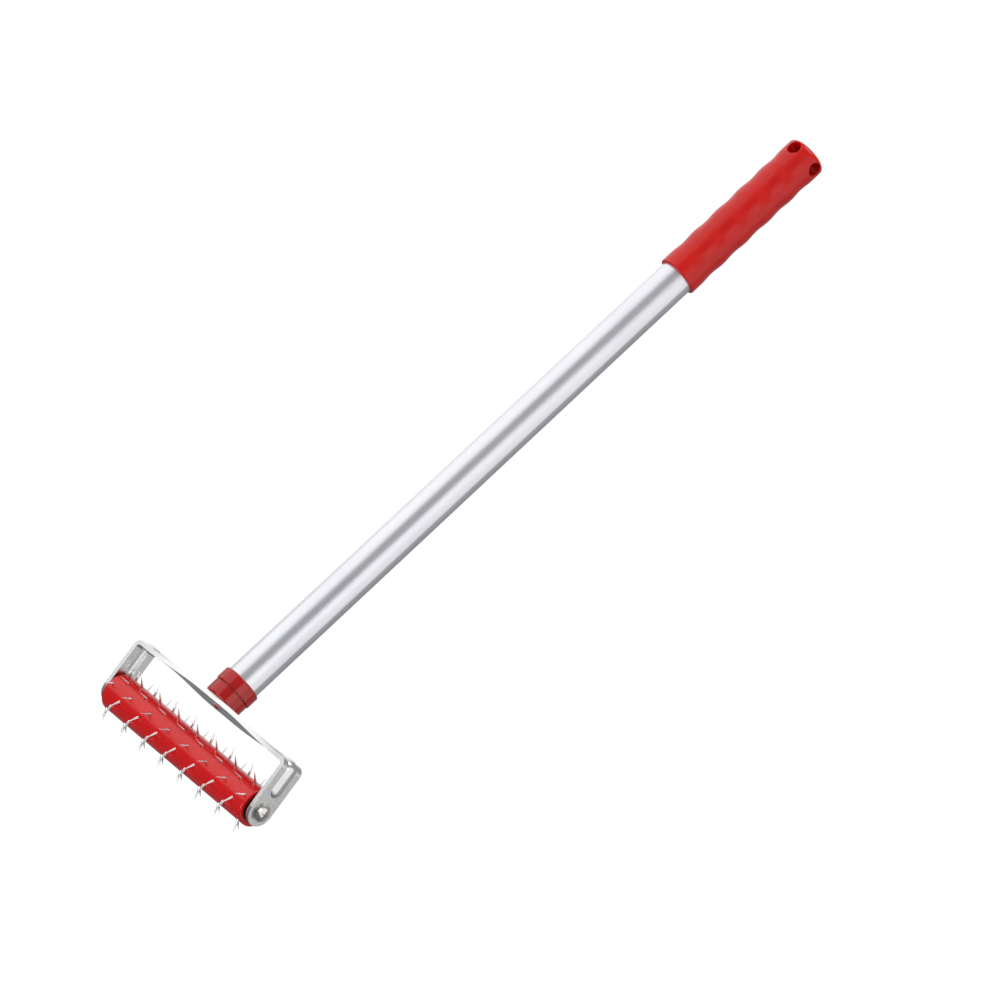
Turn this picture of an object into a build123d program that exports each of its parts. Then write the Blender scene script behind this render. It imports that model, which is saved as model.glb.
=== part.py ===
"""Spiked roller on a telescopic aluminium pole, as separate pieces with real joints.

Millimetres.  +Z runs up the pole to the hand grip, X is the roller's axis, and the origin is
where the two crossed hang holes meet inside the end of the grip.  Heights named *_H are
measured up the pole from the outer face of the yoke's web, and at() turns them into Z.
"""
import math
import os

from build123d import *

os.makedirs("parts", exist_ok=True)

# Pole
SEAT_Z = -533.0
TUBE_R = 12.5
TUBE_WALL = 1.2
TUBE_BOTTOM_H = 11.5
TUBE_TOP_H = 522.0
INNER_R = 11.0
INNER_WALL = 1.0
INNER_TOP_H = 381.0
SNUG = 0.02

# Collar on the outer tube and end plug on the inner tube, with a thin seam between them
COLLAR_R = 14.25
COLLAR_BOTTOM_H = 10.6
COLLAR_TOP_H = 20.0
COLLAR_LIP = 0.8
COLLAR_CHAMFER = 1.1
COLLAR_LIP_BORE_R = 11.2
PLUG_R = 13.55
PLUG_TOP_H = 10.3
PLUG_ROUND = 1.6
SPIGOT_TOP_H = 33.0
SPIGOT_BORE_R = 2.6

# Hand grip: distances up from its mouth, with the waists between the finger swells
GRIP_BOTTOM_H = 416.3
GRIP_LENGTH = 123.7
GRIP_SWELL_R = 14.65
GRIP_WAIST_R = 14.0
GRIP_WAISTS = (19.2, 40.0, 61.5, 83.0, 103.0)
GRIP_SWELLS = (8.0, 29.5, 50.7, 72.2, 93.0, 112.0)
GRIP_END_ROUND = 3.5
GRIP_LIP = 0.6
GRIP_SOCKET_TOP_H = 522.3
HANG_HOLE_R = 4.9

# Twist lock inside the outer tube
CORE_PLUG_LENGTH = 20.0
CORE_FLANGE = 2.0
CORE_STEM_R = 5.0
CORE_STEM_TOP_H = 410.0
SLEEVE_R = 11.25
SLEEVE_BORE_R = 5.05
SLEEVE_BOTTOM_H = 383.3
SLEEVE_TOP_H = 409.7
SLEEVE_SLOT = 3.0
SLEEVE_GROOVES = (389.0, 396.5, 404.0)
RETAINER_R = 8.5
RETAINER_THICKNESS = 1.5

# Yoke: one bent steel strap, its legs leaning back from the pole about the roller's axis
STRAP_WIDTH = 20.0
STRAP_T = 3.0
YOKE_HALF = 85.5
YOKE_DROP = 37.0
YOKE_LEAN = 15.0
BEND_R = 5.5
TWIST_FLAT_X = 14.0
TWIST_END_X = 75.0
SEAT_HOLE_R = 2.7
AXLE_HOLE_R = 2.65

# Pressed stiffening bead that runs round each corner of the yoke
BEAD_R = 9.0
BEAD_HEIGHT = 1.3
BEAD_WALL = 2.6
BEAD_LEG_DROP = 20.5
BEAD_WEB_X = 77.0
BEAD_BITE = 0.4

# Roller
ROLLER_R = 13.2
ROLLER_HALF = 80.5
ROLLER_BORE_R = 10.2
ROLLER_EDGE = 1.0
BUSH_RECESS = 1.0
BUSH_LENGTH = 12.0
BUSH_RELIEF_R = 7.4
AXLE_R = 4.0
SPACER_R = 6.5
RUNNING = 0.05
AXLE_HALF = YOKE_HALF - STRAP_T - RUNNING

# Needles
ROWS = 12
ROW_STEP = 30.0
FIRST_ROW_ANGLE = -15.5
NEEDLE_PITCH = 21.8
FULL_ROW = 8
NEEDLE_LENGTH = 8.5
NEEDLE_R = 1.0
NEEDLE_TIP_R = 0.08
NEEDLE_SHANK = 2.3
NEEDLE_LEAN = 34.0
END_MARGIN = 3.5

# Screws
SCREW_R = 2.5
SCREW_HEAD_R = 5.6
SCREW_HEAD_H = 3.2
SCREW_REACH = 12.0
LOW_HEAD_R = 3.8
LOW_HEAD_H = 1.5
WASHER_T = 0.8
WASHER_R = 6.7
NUT_FLATS = 8.0
NUT_T = 4.0
NUT_BOTTOM_H = 26.0
RECESS_WIDTH = 1.0
RECESS_SHARE = 0.45
RECESS_DEPTH = 0.5


def at(height):
    """Z of a height measured up the pole from the outer face of the web."""
    return SEAT_Z + height


def rod(radius, low, high):
    """Cylinder on the pole axis between two heights."""
    return Pos(0, 0, at((low + high) / 2)) * Cylinder(radius, high - low)


def ring_edges(solid, radius, height, slack=0.05):
    """Circular edges of one radius and height."""
    found = solid.edges().filter_by(GeomType.CIRCLE)
    found = found.filter_by(lambda e: abs(e.radius - radius) < slack)
    return found.filter_by(lambda e: abs(e.center().Z - at(height)) < slack)


def screw(head_r, head_h, shank_low, shank_high):
    """Domed cross-recess screw along Z: its head stands on 0, its shank runs between two heights."""
    dome = Pos(0, 0, head_h - 1.6 * head_r) * Sphere(1.6 * head_r)
    head = Pos(0, 0, head_h / 2) * Cylinder(head_r, head_h) & dome
    shank = Pos(0, 0, (shank_low + shank_high) / 2) * Cylinder(SCREW_R, shank_high - shank_low)
    bar = Box(2 * head_r * RECESS_SHARE, RECESS_WIDTH, 2 * head_h * RECESS_DEPTH)
    return head + shank - Pos(0, 0, head_h) * (bar + Rot(0, 0, 90) * bar)


def in_yoke(shape):
    """Put a shape made for an upright yoke, web face at Z 0, onto the leaning one."""
    return Pos(0, 0, SEAT_Z) * Rot(YOKE_LEAN, 0, 0) * shape


def on_axle(shape):
    """Put a shape made along X about the origin onto the roller's axis."""
    return in_yoke(Pos(0, 0, -YOKE_DROP) * shape)


def along_x(radius, near, far):
    """Cylinder along X between two X values, in either order."""
    return Pos((near + far) / 2, 0, 0) * Rot(0, 90, 0) * Cylinder(radius, abs(far - near))


# ---------------------------------------------------------------- pole


def make_outer_tube():
    tube = rod(TUBE_R, TUBE_BOTTOM_H, TUBE_TOP_H)
    return tube - rod(TUBE_R - TUBE_WALL, TUBE_BOTTOM_H, TUBE_TOP_H)


def make_outer_collar():
    collar = rod(COLLAR_R, COLLAR_BOTTOM_H, COLLAR_TOP_H)
    collar = fillet(ring_edges(collar, COLLAR_R, COLLAR_TOP_H), COLLAR_CHAMFER)
    collar = chamfer(ring_edges(collar, COLLAR_R, COLLAR_BOTTOM_H), 0.35)
    collar = collar - rod(COLLAR_LIP_BORE_R, COLLAR_BOTTOM_H, COLLAR_TOP_H)
    return collar - rod(TUBE_R + SNUG, COLLAR_BOTTOM_H + COLLAR_LIP, COLLAR_TOP_H)


def grip_profile():
    """Half outline of the grip's outside: a soft wave of swells and a rounded closed end."""
    mouth = at(GRIP_BOTTOM_H)
    top = mouth + GRIP_LENGTH
    turns = [(h, GRIP_WAIST_R) for h in GRIP_WAISTS] + [(h, GRIP_SWELL_R) for h in GRIP_SWELLS]
    turns = [(r, mouth + h) for h, r in sorted(turns)]
    middle_r = (GRIP_WAIST_R + GRIP_SWELL_R) / 2
    middles = [(middle_r, (low[1] + high[1]) / 2) for low, high in zip(turns, turns[1:])]
    lip = (GRIP_SWELL_R, mouth + GRIP_LIP)
    wave_start = turns[0]
    wave_end = turns[-1]
    corner = (GRIP_SWELL_R, top - GRIP_END_ROUND)
    crown = (GRIP_SWELL_R - GRIP_END_ROUND, top)
    edges = [Line((GRIP_SWELL_R - GRIP_LIP, mouth), lip), Line(lip, wave_start)]
    edges.append(TangentArc(wave_start, middles[0], tangent=(0, 1)))
    for start, turn, end in zip(middles, turns[1:], middles[1:]):
        edges.append(ThreePointArc(start, turn, end))
    edges.append(TangentArc(wave_end, middles[-1], tangent=(0, -1)))
    edges.append(Line(wave_end, corner))
    edges.append(RadiusArc(corner, crown, -GRIP_END_ROUND))
    edges.append(Line(crown, (0, top)))
    edges.append(Line((0, top), (0, mouth)))
    edges.append(Line((0, mouth), (GRIP_SWELL_R - GRIP_LIP, mouth)))
    return Plane.XZ * make_face(Wire(edges))


def make_hand_grip():
    grip = Rot(0, 0, ROW_STEP) * revolve(grip_profile(), Axis.Z)
    grip = grip - rod(TUBE_R + SNUG, GRIP_BOTTOM_H - 1, GRIP_SOCKET_TOP_H)
    hole = Cylinder(HANG_HOLE_R, 4 * GRIP_SWELL_R)
    return grip - (Rot(0, 90, 0) * hole + Rot(90, 0, 0) * hole)


def make_inner_tube():
    tube = rod(INNER_R, PLUG_TOP_H + SNUG, INNER_TOP_H)
    return tube - rod(INNER_R - INNER_WALL, PLUG_TOP_H, INNER_TOP_H)


def make_end_plug():
    plug = rod(PLUG_R, SNUG, PLUG_TOP_H)
    plug = fillet(ring_edges(plug, PLUG_R, SNUG), PLUG_ROUND)
    plug = chamfer(ring_edges(plug, PLUG_R, PLUG_TOP_H), 0.35)
    plug = plug + rod(INNER_R - INNER_WALL - SNUG, PLUG_TOP_H - 1, SPIGOT_TOP_H)
    plug = plug - rod(SPIGOT_BORE_R, 0, SPIGOT_TOP_H)
    pocket = extrude(RegularPolygon(NUT_FLATS / 2 + SNUG, 6, major_radius=False), SPIGOT_TOP_H)
    return plug - Pos(0, 0, at(NUT_BOTTOM_H)) * pocket


def make_plug_nut():
    nut = extrude(RegularPolygon(NUT_FLATS / 2, 6, major_radius=False), NUT_T)
    nut = Pos(0, 0, at(NUT_BOTTOM_H + SNUG)) * nut
    return nut - rod(SCREW_R + SNUG, NUT_BOTTOM_H, NUT_BOTTOM_H + NUT_T + 1)


def make_expander_core():
    plug_low = INNER_TOP_H - CORE_PLUG_LENGTH
    core = rod(INNER_R - INNER_WALL - SNUG, plug_low, INNER_TOP_H + CORE_FLANGE)
    core = core + rod(INNER_R, INNER_TOP_H + SNUG, INNER_TOP_H + CORE_FLANGE)
    core = core + rod(CORE_STEM_R, INNER_TOP_H, CORE_STEM_TOP_H)
    return core - rod(SCREW_R + SNUG, CORE_STEM_TOP_H - SCREW_REACH - 1, CORE_STEM_TOP_H)


def make_lock_sleeve():
    sleeve = rod(SLEEVE_R, SLEEVE_BOTTOM_H, SLEEVE_TOP_H)
    sleeve = sleeve - rod(SLEEVE_BORE_R, SLEEVE_BOTTOM_H, SLEEVE_TOP_H)
    for height in SLEEVE_GROOVES:
        band = rod(SLEEVE_R + 1, height - 0.75, height + 0.75)
        sleeve = sleeve - (band - rod(SLEEVE_R - 0.8, height - 1, height + 1))
    slot = Box(SLEEVE_R + 2, SLEEVE_SLOT, 2 * (SLEEVE_TOP_H - SLEEVE_BOTTOM_H))
    middle = at((SLEEVE_BOTTOM_H + SLEEVE_TOP_H) / 2)
    return sleeve - Pos((SLEEVE_R + 2) / 2, 0, middle) * slot


def make_sleeve_retainer():
    top_h = CORE_STEM_TOP_H + RETAINER_THICKNESS
    disc = rod(RETAINER_R, CORE_STEM_TOP_H + SNUG, top_h)
    return disc - rod(SCREW_R + SNUG, CORE_STEM_TOP_H, top_h)


def make_retainer_screw():
    body = screw(LOW_HEAD_R, LOW_HEAD_H, -SCREW_REACH, 0.5)
    return Pos(0, 0, at(CORE_STEM_TOP_H + RETAINER_THICKNESS + SNUG)) * body


# ---------------------------------------------------------------- yoke


def twist_at(x):
    """Lean of the web at X: none at the corners, all of it at the flat seat."""
    span = (abs(x) - TWIST_FLAT_X) / (TWIST_END_X - TWIST_FLAT_X)
    span = min(1.0, max(0.0, span))
    return -YOKE_LEAN * (1 - span * span * (3 - 2 * span))


def strap_section(x):
    """Cross-section of the web at X, turned about the middle of its outer face."""
    turn = Pos(x, 0, 0) * Rot(twist_at(x), 0, 0)
    plane = Plane(origin=(0, 0, 0), x_dir=(0, 1, 0), z_dir=(1, 0, 0))
    flat = plane * Pos(0, -STRAP_T / 2) * Rectangle(STRAP_WIDTH, STRAP_T)
    return turn * flat


def make_web():
    """Middle of the strap: flat under the pole and twisting into line with the legs."""
    steps = 7
    gap = (TWIST_END_X - TWIST_FLAT_X) / steps
    half = [TWIST_FLAT_X + gap * i for i in range(steps + 1)]
    right = loft([strap_section(x) for x in half])
    left = loft([strap_section(-x) for x in reversed(half)])
    seat = extrude(strap_section(-TWIST_FLAT_X), 2 * TWIST_FLAT_X, dir=(1, 0, 0))
    return right + left + seat


def make_corner():
    """Right-hand leg, bend and flat end of the web, with its round foot."""
    reach = YOKE_HALF - TWIST_END_X
    drop = YOKE_DROP + STRAP_WIDTH / 2
    low_corner = (Align.MAX, Align.CENTER, Align.MAX)
    block = Pos(YOKE_HALF, 0, 0) * Box(reach, STRAP_WIDTH, drop, align=low_corner)
    outer = block.edges().filter_by(Axis.Y).group_by(Axis.Z)[-1].sort_by(Axis.X)[-1]
    block = fillet(outer, BEND_R)
    room = Box(reach, 2 * STRAP_WIDTH, drop, align=low_corner)
    room = Pos(YOKE_HALF - STRAP_T, 0, -STRAP_T) * room
    inner = room.edges().filter_by(Axis.Y).group_by(Axis.Z)[-1].sort_by(Axis.X)[-1]
    strip = block - fillet(inner, BEND_R - STRAP_T)
    foot = strip.edges().filter_by(Axis.X).group_by(Axis.Z)[0]
    return fillet(foot, STRAP_WIDTH / 2 - SNUG)


def bead_pieces(radius, sink, path_r, depth):
    """Ridge with a circular top that follows the strap round its corner, and its two domed ends.

    radius is the arc of the ridge, sink how far its centre lies under the face it rises
    from, path_r the bend radius of that face and depth how far the face is under the
    strap's outer face.
    """
    x_face = YOKE_HALF - depth
    web_end = (BEAD_WEB_X, 0, -depth)
    leg_end = (x_face, 0, -BEAD_LEG_DROP)
    path = FilletPolyline(web_end, (x_face, 0, -depth), leg_end, radius=path_r)
    base = -BEAD_BITE
    top = radius - sink
    half = math.sqrt(radius ** 2 - (sink + base) ** 2)
    arc = ThreePointArc((-half, base), (0, top), (half, base))
    segment = make_face(Wire([arc, Line(arc @ 1, arc @ 0)]))
    start = Plane(origin=web_end, x_dir=(0, 1, 0), z_dir=(1, 0, 0))
    ridge = sweep(start * segment, path=path)
    turn = math.atan2(half, sink + base) / 2
    middle = (radius * math.sin(turn), radius * math.cos(turn) - sink)
    edge = ThreePointArc((0, top), middle, (half, base))
    half_segment = make_face(Wire([edge, Line(edge @ 1, (0, base)), Line((0, base), (0, top))]))
    dome = revolve(Plane.XZ * half_segment, Axis.Z)
    return [ridge, Pos(*web_end) * dome, Pos(*leg_end) * Rot(0, 90, 0) * dome]


def make_yoke():
    sink = BEAD_R - BEAD_HEIGHT
    corner = make_corner()
    bead = bead_pieces(BEAD_R, sink, BEND_R, 0.0)
    groove = bead_pieces(BEAD_R - BEAD_WALL, sink - STRAP_T, BEND_R - STRAP_T, STRAP_T)
    hole = Pos(0, 0, -YOKE_DROP) * along_x(AXLE_HOLE_R, -YOKE_HALF - 1, YOKE_HALF + 1)
    added = [corner] + bead
    strap = make_web() + added + [mirror(piece, Plane.YZ) for piece in added]
    strap = strap - groove - [mirror(piece, Plane.YZ) for piece in groove] - hole
    return in_yoke(strap) - rod(SEAT_HOLE_R, -8, 4)


def make_yoke_screw():
    under = -STRAP_T - SNUG
    body = screw(LOW_HEAD_R, LOW_HEAD_H, under - SPIGOT_TOP_H + 3, 0.5)
    return Pos(0, 0, at(under)) * Rot(180, 0, 0) * body


# ---------------------------------------------------------------- roller


def make_axle():
    axle = along_x(AXLE_R, -AXLE_HALF, AXLE_HALF)
    for side in (-1, 1):
        tip = side * AXLE_HALF
        inside = side * (AXLE_HALF - SCREW_REACH - 1)
        axle = axle - along_x(SCREW_R + SNUG, inside, tip)
    return on_axle(axle)


def make_axle_washer(side):
    near = side * (YOKE_HALF + SNUG)
    far = side * (YOKE_HALF + SNUG + WASHER_T)
    return on_axle(along_x(WASHER_R, near, far) - along_x(SCREW_R + 0.1, near, far))


def make_axle_screw(side):
    under = YOKE_HALF + WASHER_T + 2 * SNUG
    body = screw(SCREW_HEAD_R, SCREW_HEAD_H, AXLE_HALF - SCREW_REACH - under, 0.5)
    return on_axle(Pos(side * under, 0, 0) * Rot(0, side * 90, 0) * body)


def make_spacer(side):
    near = side * (ROLLER_HALF - BUSH_RECESS + 0.1)
    far = side * (YOKE_HALF - STRAP_T - RUNNING)
    return on_axle(along_x(SPACER_R, near, far) - along_x(AXLE_R + SNUG, near, far))


def make_bush(side):
    outer = side * (ROLLER_HALF - BUSH_RECESS)
    inner = side * (ROLLER_HALF - BUSH_RECESS - BUSH_LENGTH)
    bush = along_x(ROLLER_BORE_R - SNUG, inner, outer)
    relief = along_x(ROLLER_BORE_R - 2, outer - side, outer + side)
    relief = relief - along_x(BUSH_RELIEF_R, outer - 2 * side, outer + 2 * side)
    return on_axle(bush - relief - along_x(AXLE_R + RUNNING, inner, outer))


def row_needles(index):
    """X positions of one row's needles: rows step along by a third of the pitch."""
    start = -NEEDLE_PITCH * (FULL_ROW - 1) / 2
    start = start + NEEDLE_PITCH * ((index + 2) % 3) / 3
    places = [start + NEEDLE_PITCH * i for i in range(FULL_ROW)]
    return [x for x in places if x < ROLLER_HALF - END_MARGIN]


def needle_frame(index, x):
    """Location on the roller's surface whose +Z runs out along a leaning needle."""
    around = FIRST_ROW_ANGLE + ROW_STEP * index
    radial = Rot(90 - around, 0, 0)
    return Pos(x, 0, 0) * radial * Pos(0, 0, ROLLER_R) * Rot(NEEDLE_LEAN, 0, 0)


def make_needle():
    """One needle: a straight shank to sit in the roller and a long point."""
    shank = Pos(0, 0, -NEEDLE_SHANK / 2) * Cylinder(NEEDLE_R, NEEDLE_SHANK)
    point = Pos(0, 0, NEEDLE_LENGTH / 2) * Cone(NEEDLE_R, NEEDLE_TIP_R, NEEDLE_LENGTH)
    return shank + point


def make_needle_row(index):
    needle = make_needle()
    row = [needle_frame(index, x) * needle for x in row_needles(index)]
    return Compound(children=[on_axle(pin) for pin in row])


def make_roller():
    body = along_x(ROLLER_R, -ROLLER_HALF, ROLLER_HALF)
    body = fillet(body.edges().filter_by(GeomType.CIRCLE), ROLLER_EDGE)
    body = body - along_x(ROLLER_BORE_R, -ROLLER_HALF, ROLLER_HALF)
    socket = Pos(0, 0, -NEEDLE_SHANK / 2) * Cylinder(NEEDLE_R + SNUG, NEEDLE_SHANK + 2 * SNUG)
    mouth = Pos(0, 0, 1) * Cylinder(NEEDLE_R + SNUG, 2)
    cutter = socket + mouth
    holes = [
        needle_frame(index, x) * cutter for index in range(ROWS) for x in row_needles(index)
    ]
    return on_axle(body.cut(*holes))


def main():
    nodes = {
        "outer_tube": make_outer_tube(),
        "outer_collar": make_outer_collar(),
        "hand_grip": make_hand_grip(),
        "inner_tube": make_inner_tube(),
        "end_plug": make_end_plug(),
        "plug_nut": make_plug_nut(),
        "expander_core": make_expander_core(),
        "lock_sleeve": make_lock_sleeve(),
        "sleeve_retainer": make_sleeve_retainer(),
        "retainer_screw": make_retainer_screw(),
        "yoke": make_yoke(),
        "yoke_screw": make_yoke_screw(),
        "axle": make_axle(),
        "axle_washer_left": make_axle_washer(-1),
        "axle_washer_right": make_axle_washer(1),
        "axle_screw_left": make_axle_screw(-1),
        "axle_screw_right": make_axle_screw(1),
        "spacer_left": make_spacer(-1),
        "spacer_right": make_spacer(1),
        "bush_left": make_bush(-1),
        "bush_right": make_bush(1),
        "roller_body": make_roller(),
    }
    for index in range(ROWS):
        nodes[f"needle_row_{index + 1:02d}"] = make_needle_row(index)
    for name, shape in nodes.items():
        export_step(shape, f"parts/{name}.step")


main()
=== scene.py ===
import math

import bmesh
import bpy
from mathutils import Matrix, Vector

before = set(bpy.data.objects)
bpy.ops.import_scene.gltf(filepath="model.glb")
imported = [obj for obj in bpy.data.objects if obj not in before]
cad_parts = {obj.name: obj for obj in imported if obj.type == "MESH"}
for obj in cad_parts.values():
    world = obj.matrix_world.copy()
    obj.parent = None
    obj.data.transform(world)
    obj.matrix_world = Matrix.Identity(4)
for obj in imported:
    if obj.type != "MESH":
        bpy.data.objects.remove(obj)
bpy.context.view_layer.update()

# Camera: the direction it looks from, in degrees about the frame's axes, and its aim in metres
CAMERA_AZIMUTH = 43.40
CAMERA_ELEVATION = -11.43
CAMERA_ROLL = -46.85
CAMERA_DISTANCE = 3.5
CAMERA_TARGET = Vector((-0.0209, 0.0623, -0.2947))
CAMERA_LENS = 189.1
CLIP_NEAR = 0.05
CLIP_FAR = 60

# Softboxes: degrees round the pole from the camera, elevation and span in degrees, height in
# metres, and glow, where 1 shows as white
OBJECT_CENTRE = Vector((0, 0, -0.29))
SOFTBOX_DISTANCE = 2.4
SOFTBOXES = {
    "key_right": (24, 3, 34, 1.6, 1.1),
    "side_right": (65, 8, 50, 3.0, 0.72),
    "key_left": (-84, 6, 82, 2.5, 0.95),
    "overhead": (-20, 64, 36, 1.4, 3.6),
    "back_fill": (-152, 30, 50, 2.4, 0.7),
    "low_fill": (-40, -54, 36, 1.4, 3.6),
}

# Grey room: its colour changes between two heights, each a share of the whole height, and its
# far wall is dimmed between two cosines of the angle from the front
ROOM_BELOW = (0.15, 0.165, 0.19)
ROOM_ABOVE = (0.33, 0.335, 0.345)
ROOM_BLEND = (0.30, 0.56)
ROOM_FRONT = (0.687, -0.727, 0)
FAR_WALL = 0.95
FAR_WALL_BLEND = (-0.95, -0.60)
WHITE = (1, 1, 1)

# Floor: metres, and the light it gives off at its middle and beyond a share of its radius
FLOOR_Z = -4.2
FLOOR_R = 16.0
FLOOR_SIDES = 96
FLOOR_GLOW = (0.50, 0.50, 0.505)
FLOOR_GLOW_END = 0.9

# Textures: the part of a noise's range that is used, the height at which its crests become
# hairlines and the softness of their edges
NOISE_SPAN = (0.3, 0.7)
HAIRLINE_LEVEL = 0.62
HAIRLINE_EDGE = 0.08
MICRON = 1e-6

PIECES_BY_FINISH = {
    "tube": ("outer_tube", "inner_tube"),
    "gloss": ("outer_collar", "end_plug"),
    "roller": ("roller_body",),
    "grip": ("hand_grip",),
    "strap": ("yoke",),
    "screw": ("axle", "plug_nut", "sleeve_retainer", "retainer_screw", "yoke_screw",
              "axle_washer_left", "axle_washer_right", "axle_screw_left", "axle_screw_right"),
    # Bushes and spacers at the roller's ends get a near-black colour, which darkens the gaps
    # between the roller and the legs
    "dark": ("bush_left", "bush_right", "spacer_left", "spacer_right"),
}


# ---------------------------------------------------------------- shader nodes


def span(tree, value, low, high, to_low=0.0, to_high=1.0):
    """A value with its range from low to high stretched over another range."""
    node = tree.nodes.new("ShaderNodeMapRange")
    node.inputs["From Min"].default_value = low
    node.inputs["From Max"].default_value = high
    node.inputs["To Min"].default_value = to_low
    node.inputs["To Max"].default_value = to_high
    tree.links.new(value, node.inputs["Value"])
    return node.outputs[0]


def blend(tree, factor, low, high, start, end):
    """The change from one colour, where the factor is at start, to another, at end."""
    node = tree.nodes.new("ShaderNodeValToRGB")
    stops = node.color_ramp.elements
    stops[0].position = start
    stops[0].color = (*low, 1)
    stops[1].position = end
    stops[1].color = (*high, 1)
    tree.links.new(factor, node.inputs[0])
    return node.outputs[0]


# ---------------------------------------------------------------- camera, light and floor


def direction(azimuth, elevation):
    """Unit vector from degrees about the pole, counted from the front, and above level."""
    a = math.radians(azimuth)
    e = math.radians(elevation)
    return Vector((math.sin(a) * math.cos(e), -math.cos(a) * math.cos(e), math.sin(e)))


def place(obj, where, right, up, back):
    """Stand an object at a point, its axes along three directions, and link it."""
    turn = Matrix((right, up, back)).transposed().to_4x4()
    obj.matrix_world = Matrix.Translation(where) @ turn
    bpy.context.scene.collection.objects.link(obj)


def make_camera():
    data = bpy.data.cameras.new("camera")
    data.lens = CAMERA_LENS
    data.clip_start = CLIP_NEAR
    data.clip_end = CLIP_FAR
    cam = bpy.data.objects.new("camera", data)
    back = direction(CAMERA_AZIMUTH, CAMERA_ELEVATION)
    level = Vector((0, 0, 1)).cross(back).normalized()
    above = back.cross(level)
    roll = math.radians(CAMERA_ROLL)
    right = level * math.cos(roll) - above * math.sin(roll)
    up = above * math.cos(roll) + level * math.sin(roll)
    place(cam, CAMERA_TARGET + back * CAMERA_DISTANCE, right, up, back)
    bpy.context.scene.camera = cam


def make_softbox(name, turn, elevation, width_span, height, glow):
    """Area light that faces the object from a direction about the pole."""
    out = direction(CAMERA_AZIMUTH + turn, elevation)
    level = Vector((0, 0, 1)).cross(out).normalized()
    data = bpy.data.lights.new(name, "AREA")
    data.shape = "RECTANGLE"
    data.size = 2 * SOFTBOX_DISTANCE * math.tan(math.radians(width_span) / 2)
    data.size_y = height
    data.energy = glow * math.pi * data.size * data.size_y
    lamp = bpy.data.objects.new(name, data)
    lamp.visible_camera = False
    place(lamp, OBJECT_CENTRE + out * SOFTBOX_DISTANCE, level, out.cross(level), out)


def room_colour(tree, where):
    """Grey that grows lighter from the bottom of the room to the top."""
    split = tree.nodes.new("ShaderNodeSeparateXYZ")
    tree.links.new(where, split.inputs[0])
    height = span(tree, split.outputs["Z"], -1, 1)
    return blend(tree, height, ROOM_BELOW, ROOM_ABOVE, *ROOM_BLEND)


def room_strength(tree, where):
    """Full light all round, dimmed on the wall behind the object."""
    facing = tree.nodes.new("ShaderNodeVectorMath")
    facing.operation = "DOT_PRODUCT"
    facing.inputs[1].default_value = ROOM_FRONT
    tree.links.new(where, facing.inputs[0])
    return span(tree, facing.outputs["Value"], *FAR_WALL_BLEND, to_low=FAR_WALL)


def make_world():
    """White to the eye, and a grey room to everything the object mirrors."""
    world = bpy.data.worlds.new("studio")
    bpy.context.scene.world = world
    world.use_nodes = True
    tree = world.node_tree
    where = tree.nodes.new("ShaderNodeTexCoord").outputs["Generated"]
    room = tree.nodes["Background"]
    tree.links.new(room_colour(tree, where), room.inputs["Color"])
    tree.links.new(room_strength(tree, where), room.inputs["Strength"])
    sweep = tree.nodes.new("ShaderNodeBackground")
    sweep.inputs["Color"].default_value = (*WHITE, 1)
    ray = tree.nodes.new("ShaderNodeLightPath")
    mix = tree.nodes.new("ShaderNodeMixShader")
    tree.links.new(ray.outputs["Is Camera Ray"], mix.inputs[0])
    tree.links.new(room.outputs[0], mix.inputs[1])
    tree.links.new(sweep.outputs[0], mix.inputs[2])
    tree.links.new(mix.outputs[0], tree.nodes["World Output"].inputs["Surface"])


def make_floor():
    """Round pale floor that fades into the white round it and isn't mirrored."""
    ring = bmesh.new()
    bmesh.ops.create_circle(ring, cap_ends=True, radius=FLOOR_R, segments=FLOOR_SIDES)
    bmesh.ops.translate(ring, verts=ring.verts, vec=(0, 0, FLOOR_Z))
    mesh = bpy.data.meshes.new("floor")
    ring.to_mesh(mesh)
    ring.free()
    floor = bpy.data.objects.new("floor", mesh)
    bpy.context.scene.collection.objects.link(floor)
    floor.visible_glossy = False
    floor.visible_diffuse = False
    paint = Paint("pale_floor", {"Roughness": 0.9})
    paint.colours((0.80, 0.80, 0.80), (0.84, 0.84, 0.83), paint.noise((2, 2, 2), detail=3))
    paint.glow_outwards(FLOOR_R, FLOOR_GLOW, WHITE)
    floor.data.materials.append(paint.material)


# ---------------------------------------------------------------- materials


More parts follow.
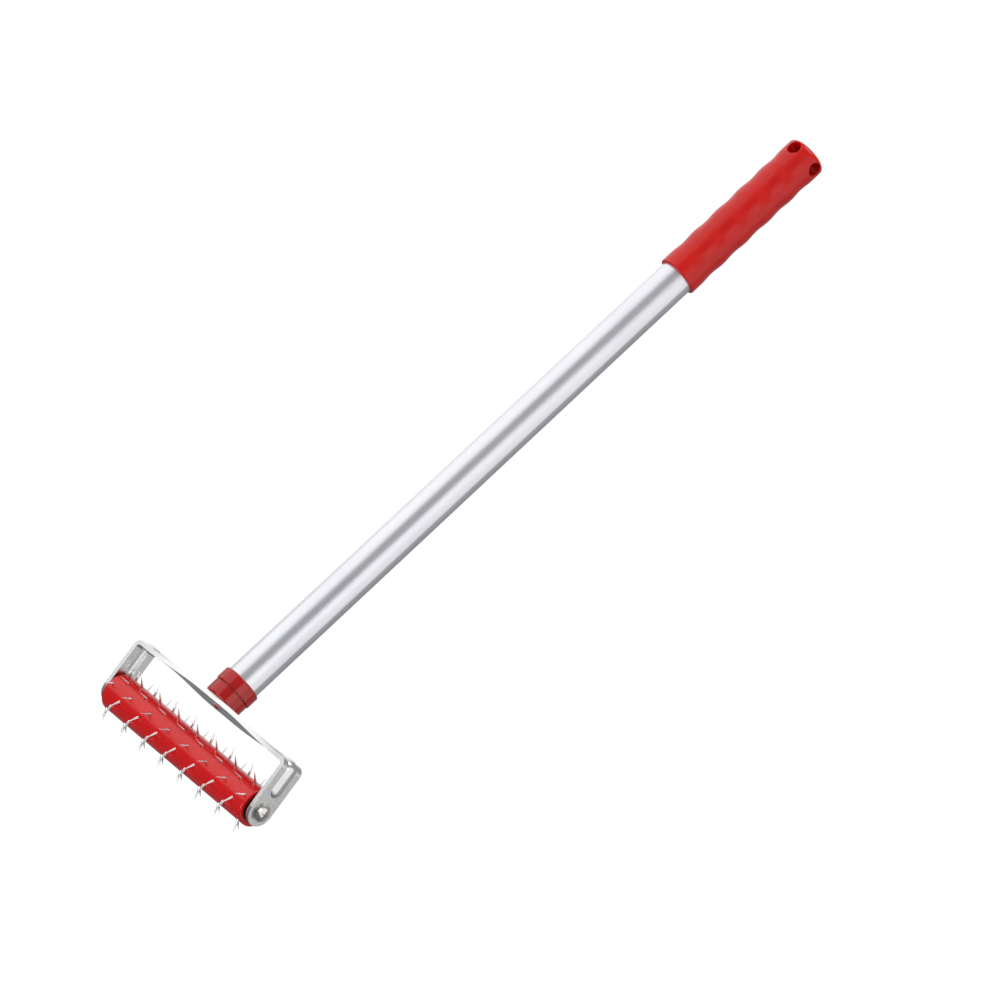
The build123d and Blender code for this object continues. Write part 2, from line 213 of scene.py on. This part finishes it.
class Paint:
    """One procedural material: a principled shader and the textures that feed it."""

    def __init__(self, name, constants):
        self.material = bpy.data.materials.new(name)
        self.material.use_nodes = True
        self.tree = self.material.node_tree
        self.shader = self.tree.nodes["Principled BSDF"]
        self.where = self.tree.nodes.new("ShaderNodeTexCoord").outputs["Object"]
        self.relief = None
        for socket, value in constants.items():
            self.shader.inputs[socket].default_value = value

    def noise(self, scale, detail=4, rough=0.55, warp=0.0, turn=(0, 0, 0)):
        """Noise whose grains per metre are given along each axis."""
        stretch = self.tree.nodes.new("ShaderNodeMapping")
        stretch.inputs["Scale"].default_value = scale
        stretch.inputs["Rotation"].default_value = turn
        self.tree.links.new(self.where, stretch.inputs["Vector"])
        node = self.tree.nodes.new("ShaderNodeTexNoise")
        node.inputs["Scale"].default_value = 1.0
        node.inputs["Detail"].default_value = detail
        node.inputs["Roughness"].default_value = rough
        node.inputs["Distortion"].default_value = warp
        self.tree.links.new(stretch.outputs[0], node.inputs["Vector"])
        return node.outputs["Fac"]

    def hairlines(self, scale, turn):
        """Sparse fine marks: the crests of a noise drawn out along one direction."""
        crests = self.noise(scale, detail=1, rough=0.5, turn=turn)
        return span(self.tree, crests, HAIRLINE_LEVEL, HAIRLINE_LEVEL + HAIRLINE_EDGE)

    def colours(self, low, high, factor):
        shade = blend(self.tree, factor, low, high, *NOISE_SPAN)
        self.tree.links.new(shade, self.shader.inputs["Base Color"])

    def roughness(self, low, high, factor):
        value = span(self.tree, factor, *NOISE_SPAN, low, high)
        self.tree.links.new(value, self.shader.inputs["Roughness"])

    def bump(self, microns, factor):
        """Relief of a height; further calls add to it."""
        node = self.tree.nodes.new("ShaderNodeBump")
        node.inputs["Distance"].default_value = microns * MICRON
        node.inputs["Strength"].default_value = 1.0
        self.tree.links.new(factor, node.inputs["Height"])
        if self.relief is not None:
            self.tree.links.new(self.relief, node.inputs["Normal"])
        self.relief = node.outputs[0]
        self.tree.links.new(self.relief, self.shader.inputs["Normal"])

    def glow_outwards(self, radius, middle, rim):
        """Light given off, from one colour at the middle to another near a radius."""
        reach = self.tree.nodes.new("ShaderNodeVectorMath")
        reach.operation = "LENGTH"
        self.tree.links.new(self.where, reach.inputs[0])
        share = span(self.tree, reach.outputs["Value"], 0, radius)
        glow = blend(self.tree, share, middle, rim, 0, FLOOR_GLOW_END)
        self.tree.links.new(glow, self.shader.inputs["Emission Color"])
        self.shader.inputs["Emission Strength"].default_value = 1.0


def satin_aluminium(name, low, high, rough):
    """Drawn and anodised tube: fine lines along the pole and a soft cloudy sheen."""
    paint = Paint(name, {"Metallic": 1.0})
    lines = paint.noise((1600, 1600, 14), detail=5)
    clouds = paint.noise((60, 60, 22), detail=3)
    marks = paint.hairlines((900, 900, 7), turn=(0.02, 0.01, 0))
    paint.colours(low, high, clouds)
    paint.roughness(*rough, lines)
    paint.bump(6, lines)
    paint.bump(3, marks)
    return paint.material


def gloss_plastic(name, low, high, rough):
    """Injection-moulded plastic: slight flow marks and a faint orange peel."""
    paint = Paint(name, {"IOR": 1.48, "Coat Weight": 0.08, "Coat Roughness": 0.12})
    flow = paint.noise((45, 45, 45), detail=3, warp=0.6)
    sheen = paint.noise((300, 300, 300))
    peel = paint.noise((420, 420, 420), detail=1)
    paint.colours(low, high, flow)
    paint.roughness(*rough, sheen)
    paint.bump(5, peel)
    return paint.material


def grip_plastic(name, low, high, rough):
    """Satin grip: a fine moulded grain that softens the light, over a slight unevenness."""
    paint = Paint(name, {"IOR": 1.44})
    grain = paint.noise((1500, 1500, 1500), detail=6, rough=0.65)
    clouds = paint.noise((70, 70, 40))
    dimples = paint.noise((160, 160, 90), detail=2)
    paint.colours(low, high, clouds)
    paint.roughness(*rough, grain)
    paint.bump(20, grain)
    paint.bump(30, dimples)
    return paint.material


def plated_steel(name, low, high, rough, grains=(60, 420, 420), microns=0.6):
    """Bright plated steel: rolling lines, a cloudy plating and a few hairline marks."""
    paint = Paint(name, {"Metallic": 1.0})
    rolled = paint.noise(grains, detail=2)
    clouds = paint.noise((110, 110, 110), detail=5, warp=0.4)
    marks = paint.hairlines((12, 900, 900), turn=(0.1, 0.3, 0.4))
    paint.colours(low, high, clouds)
    paint.roughness(*rough, rolled)
    paint.bump(microns, rolled)
    paint.bump(1.2, marks)
    return paint.material


def nylon_plastic(name, low, high, rough):
    """Dull plastic with a fine even grain."""
    paint = Paint(name, {"IOR": 1.53, "Subsurface Weight": 0.1})
    grain = paint.noise((900, 900, 900))
    clouds = paint.noise((120, 120, 120), detail=3)
    paint.colours(low, high, clouds)
    paint.roughness(*rough, grain)
    paint.bump(10, grain)
    return paint.material


def make_finishes():
    """Each finish by its short name, from its two colours and its range of roughness."""
    return {
        "tube": satin_aluminium("tube_aluminium", (0.76, 0.76, 0.79), (0.80, 0.80, 0.825),
                                (0.33, 0.40)),
        "gloss": gloss_plastic("gloss_red", (0.40, 0.003, 0.001), (0.45, 0.004, 0.001),
                               (0.10, 0.17)),
        "roller": gloss_plastic("roller_red", (0.64, 0.003, 0.003), (0.70, 0.004, 0.004),
                                (0.21, 0.28)),
        "grip": grip_plastic("grip_red", (0.58, 0.0035, 0.0008), (0.66, 0.005, 0.001),
                             (0.26, 0.36)),
        "strap": plated_steel("strap_plating", (0.76, 0.76, 0.735), (0.83, 0.83, 0.81),
                              (0.20, 0.30)),
        "screw": plated_steel("screw_nickel", (0.70, 0.67, 0.63), (0.80, 0.77, 0.73),
                              (0.12, 0.22), grains=(400, 400, 400)),
        "needle": plated_steel("needle_bright", (0.86, 0.85, 0.84), (0.92, 0.91, 0.90),
                               (0.20, 0.30), grains=(600, 600, 600), microns=1.0),
        "nylon": nylon_plastic("nylon_natural", (0.74, 0.73, 0.69), (0.80, 0.79, 0.76),
                               (0.40, 0.52)),
        # Near-black colour on the bushes and spacers, which darkens the gaps at the roller's
        # ends
        "dark": nylon_plastic("near_black_roller_ends", (0.022, 0.022, 0.024), (0.034, 0.034, 0.036),
                              (0.40, 0.52)),
    }


def finish_nodes():
    """Give each piece its finish: bright needles, and nylon for what isn't listed."""
    finishes = make_finishes()
    uses = {name: use for use, names in PIECES_BY_FINISH.items() for name in names}
    for name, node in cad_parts.items():
        use = "needle" if name.startswith("needle_row") else uses.get(name, "nylon")
        for slot in node.material_slots:
            slot.material = finishes[use]


make_camera()
make_world()
make_floor()
for box_name, box in SOFTBOXES.items():
    make_softbox(box_name, *box)
finish_nodes()

bpy.context.scene.view_settings.view_transform = "Standard"
